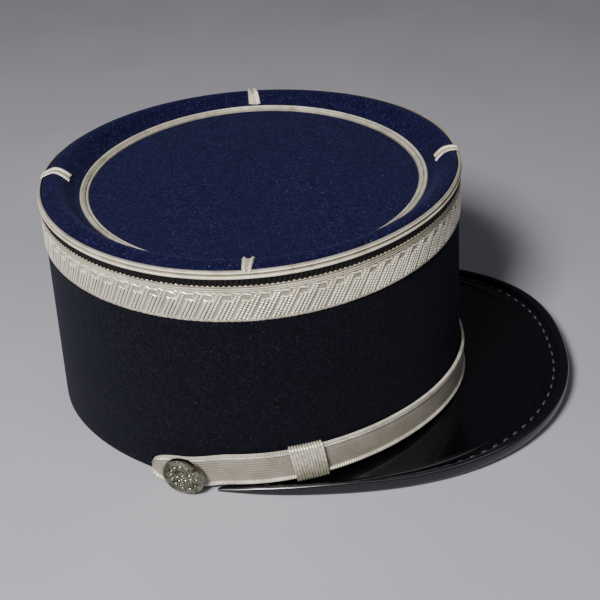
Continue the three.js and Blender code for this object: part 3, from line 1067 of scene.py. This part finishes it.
def makeSlider(name, node, side):
    span, steps = slider["halfSpan"], slider["pathSteps"]
    angles = [deg(side * slider["angle"]) + deg(span - 2 * span * step / steps) for step in range(steps + 1)]
    path, length = pathCurve(name + "Path", [strapPoint(a, strap["width"] / 2, 0) for a in angles],
                             [wallLean(a) for a in angles], False)
    high, near, far = slider["halfHeight"], slider["near"], slider["far"]
    straight = high - slider["corner"]
    nearIn, farIn = near + slider["nearCut"], far - slider["farCut"]
    spots = [(near, -straight), (near, straight), (nearIn, high), (farIn, high), (far, straight),
             (far + slider["bulge"], 0), (far, -straight), (farIn, -high), (nearIn, -high)]
    shear = math.tan(deg(slider["lean"]))
    turn, line = polyCurve(name, [(up * shear, out, up) for out, up in spots], True)
    turn.data.bevel_depth = slider["wire"]
    turn.data.bevel_resolution = 1
    pick(turn)
    bpy.ops.object.convert(target="MESH")
    turn = bpy.context.object
    start = (length - slider["turns"] * slider["pitch"]) / 2
    turn.data.transform(Matrix.Translation((start, 0, 0)))
    layAlong(turn, path, slider["pitch"], slider["turns"], closed=False)
    finishPiece(turn, node, wireSilver, 60)


makeSlider("slider_left_wire", "slider_left", 1)
makeSlider("slider_right_wire", "slider_right", -1)
print("strap and sliders made")

# buttons: a domed disc in a raised rim, with a leaf wreath and a rosette
button = {
    "angle": 110, "radius": 0.0098, "height": 0.0022, "rim": 0.0013, "sunk": 0.0007, "bevel": 0.0003,
    "domeSteps": [(0.0016, 0.0007), (0.0020, 0.0006), (0.0022, 0.0005), (0.0016, 0.0002)],    # (inward, up)
    "domeFoot": 0.0015, "dome": 0.0019, "leaves": 12, "petals": 5,
    # (from the middle, turn, size, twist) of the wreath's two rows
    "leafRows": [(0.0062, 0, (0.0014, 0.0006, 0.0008), 50), (0.0046, 0.2, (0.0012, 0.0005, 0.0007), -35)],
    "petalPlace": 0.0019, "petalSize": (0.0014, 0.0009, 0.0010), "heartSize": (0.0010, 0.0010, 0.0010),
    "shankRadius": 0.003, "shankLength": 0.002, "shankPlace": -0.0009, "standOff": 0.0012, "groundGap": 0.0002,
}


def makeButton(name, node, side):
    radius, rim = button["radius"], button["rim"]
    deselectAll()
    bpy.ops.mesh.primitive_cylinder_add(vertices=56, radius=radius, depth=button["height"],
                                        location=(0, 0, button["height"] / 2))
    disc = bpy.context.object
    bpy.ops.object.transform_apply()
    startEdit(disc, "DESELECT")
    endEdit()
    for face in disc.data.polygons:
        face.select = face.normal.z > 0.9
    bpy.ops.object.mode_set(mode="EDIT")
    bpy.ops.mesh.inset(thickness=rim)
    bpy.ops.transform.translate(value=(0, 0, -button["sunk"]))
    for step, rise in button["domeSteps"]:
        bpy.ops.mesh.inset(thickness=step)
        bpy.ops.transform.translate(value=(0, 0, rise))
    endEdit()
    soften = disc.modifiers.new("soften", "BEVEL")
    soften.width = button["bevel"]
    soften.segments = 2
    applyModifiers(disc)
    parts = [disc]

    def domeAt(distance):
        return button["domeFoot"] + button["dome"] * (1 - (distance / (radius - rim)) ** 2)

    def addLeaf(distance, turn, size, twist):
        deselectAll()
        bpy.ops.mesh.primitive_ico_sphere_add(subdivisions=2, radius=1)
        leaf = bpy.context.object
        place = (Matrix.Rotation(turn, 4, "Z") @ Matrix.Translation((distance, 0, domeAt(distance)))
                 @ Matrix.Rotation(twist, 4, "Z") @ Matrix.Diagonal((*size, 1)))
        leaf.data.transform(place)
        parts.append(leaf)

    for index in range(button["leaves"]):
        turn = 2 * math.pi * index / button["leaves"]
        for distance, turnOn, size, twist in button["leafRows"]:
            addLeaf(distance, turn + turnOn, size, deg(twist))
    for index in range(button["petals"]):
        addLeaf(button["petalPlace"], 2 * math.pi * index / button["petals"], button["petalSize"], 0)
    addLeaf(0, 0, button["heartSize"], 0)
    deselectAll()
    bpy.ops.mesh.primitive_cylinder_add(vertices=20, radius=button["shankRadius"], depth=button["shankLength"],
                                        location=(0, 0, button["shankPlace"]))
    bpy.ops.object.transform_apply()
    parts.append(bpy.context.object)
    piece = joined(name, parts)
    angle = side * deg(button["angle"])
    turned = outward(angle).to_track_quat("Z", "Y").to_matrix().to_4x4()
    spot = seated(strapPoint(angle, strap["width"] / 2, strap["thickness"] + button["standOff"]))
    spot.z = button["radius"] + button["groundGap"]
    piece.data.transform(Matrix.Translation(spot) @ turned)
    finishPiece(piece, node, buttonNickel, 50)


makeButton("button_left_metal", "button_left", 1)
makeButton("button_right_metal", "button_right", -1)
print("buttons made")

# floor and lights
deselectAll()
bpy.ops.mesh.primitive_plane_add(size=8, location=(0, 0, 0))
floor = bpy.context.object
floor.name = "floor"
floor.data.materials.append(speckled("floorPaper", {
    "dark": (0.245, 0.242, 0.282), "light": (0.268, 0.265, 0.304), "scale": 9, "detail": 3, "grain": 0.5,
    "roughness": 0.9, "specular": 0.5, "bump": 0,
}))


lighting = {
    "target": (0, 0, 0.05),
    "keyLight": {"place": (-0.62, 0.32, 0.78), "size": 0.22, "power": 24, "colour": (1.0, 0.975, 0.93)},
    "fillLight": {"place": (-0.75, -0.55, 0.9), "size": 0.9, "power": 3.2, "colour": (0.95, 0.97, 1.0)},
    "roomColour": (0.62, 0.63, 0.70, 1), "roomStrength": 0.085,
}


def addSoftLight(name):
    look = lighting[name]
    deselectAll()
    bpy.ops.object.light_add(type="AREA", location=look["place"])
    light = bpy.context.object
    light.name = name
    light.data.size = look["size"]
    light.data.energy = look["power"]
    light.data.color = look["colour"]
    aim = Vector(lighting["target"]) - Vector(look["place"])
    light.rotation_euler = aim.to_track_quat("-Z", "Y").to_euler()


addSoftLight("keyLight")
addSoftLight("fillLight")
world = bpy.data.worlds.new("softRoom")
bpy.context.scene.world = world
world.use_nodes = True
background = world.node_tree.nodes["Background"]
background.inputs["Color"].default_value = lighting["roomColour"]
background.inputs["Strength"].default_value = lighting["roomStrength"]
print("floor and lights made")
